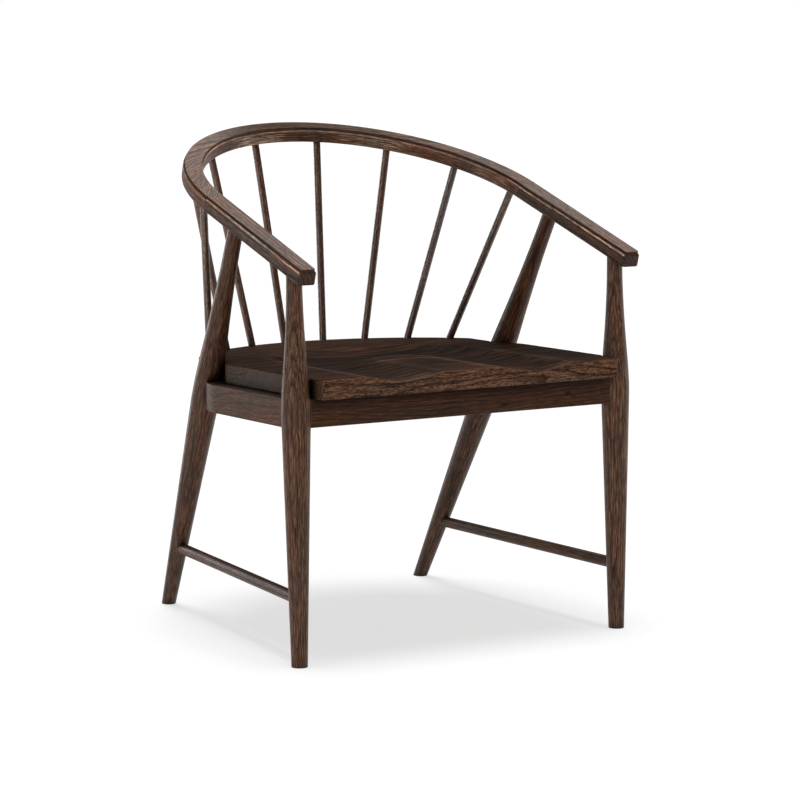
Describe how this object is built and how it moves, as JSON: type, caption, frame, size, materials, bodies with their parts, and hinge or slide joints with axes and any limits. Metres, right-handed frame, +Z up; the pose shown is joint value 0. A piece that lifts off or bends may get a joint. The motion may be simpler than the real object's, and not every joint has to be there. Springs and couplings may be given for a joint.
{
  "type": "barrel back spindle chair",
  "caption": "Wooden armchair with a half-round back rail on turned legs, a fan of slim round spindles and a thick saddled plank seat.",
  "frame": {"origin": "on the floor, under the middle of the chair's width and depth", "axes": "+Z up; the chair faces -Y; +X is to the right of someone who looks at its front"},
  "size_m": [0.6468, 0.6535, 0.8216],
  "materials": {
    "crest": "dark brown stain on wire-brushed open-grain wood, satin",
    "arm": "dark brown stain on wire-brushed open-grain wood, satin",
    "front_leg": "dark brown stain on wire-brushed open-grain wood, satin",
    "rear_left_leg": "dark brown stain on wire-brushed open-grain wood, satin",
    "rear_right_leg": "dark brown stain on wire-brushed open-grain wood, satin",
    "seat": "dark brown stain on wire-brushed open-grain wood, satin",
    "cross_rail": "dark brown stain on wire-brushed open-grain wood, satin",
    "side_rail": "dark brown stain on wire-brushed open-grain wood, satin",
    "left_stretcher": "dark brown stain on wire-brushed open-grain wood, satin",
    "right_stretcher": "dark brown stain on wire-brushed open-grain wood, satin",
    "corner_block": "plain sawn wood, thin stain",
    "steel": "zinc-plated, dull",
    "dowel": "bare beech",
    "spindle_1": "dark brown stain on wire-brushed open-grain wood, satin",
    "spindle_2": "dark brown stain on wire-brushed open-grain wood, satin",
    "spindle_3": "dark brown stain on wire-brushed open-grain wood, satin",
    "spindle_4": "dark brown stain on wire-brushed open-grain wood, satin",
    "spindle_5": "dark brown stain on wire-brushed open-grain wood, satin",
    "spindle_6": "dark brown stain on wire-brushed open-grain wood, satin",
    "spindle_7": "dark brown stain on wire-brushed open-grain wood, satin",
    "spindle_8": "dark brown stain on wire-brushed open-grain wood, satin"
  },
  "bodies": {
    "root": {"crest_rail": "crest", "left_arm": "arm", "right_arm": "arm", "front_left_leg": "front_leg", "front_right_leg": "front_leg", "rear_left_leg": "rear_left_leg", "rear_right_leg": "rear_right_leg", "seat": "seat", "front_rail": "cross_rail", "rear_rail": "cross_rail", "left_side_rail": "side_rail", "right_side_rail": "side_rail", "left_stretcher": "left_stretcher", "right_stretcher": "right_stretcher", "left_corner_block": "corner_block", "right_corner_block": "corner_block", "corner_bolts": "steel", "seat_screws": "steel", "arm_dowels": "dowel", "spindle_1": "spindle_1", "spindle_2": "spindle_2", "spindle_3": "spindle_3", "spindle_4": "spindle_4", "spindle_5": "spindle_5", "spindle_6": "spindle_6", "spindle_7": "spindle_7", "spindle_8": "spindle_8"}
  },
  "joints": []
}
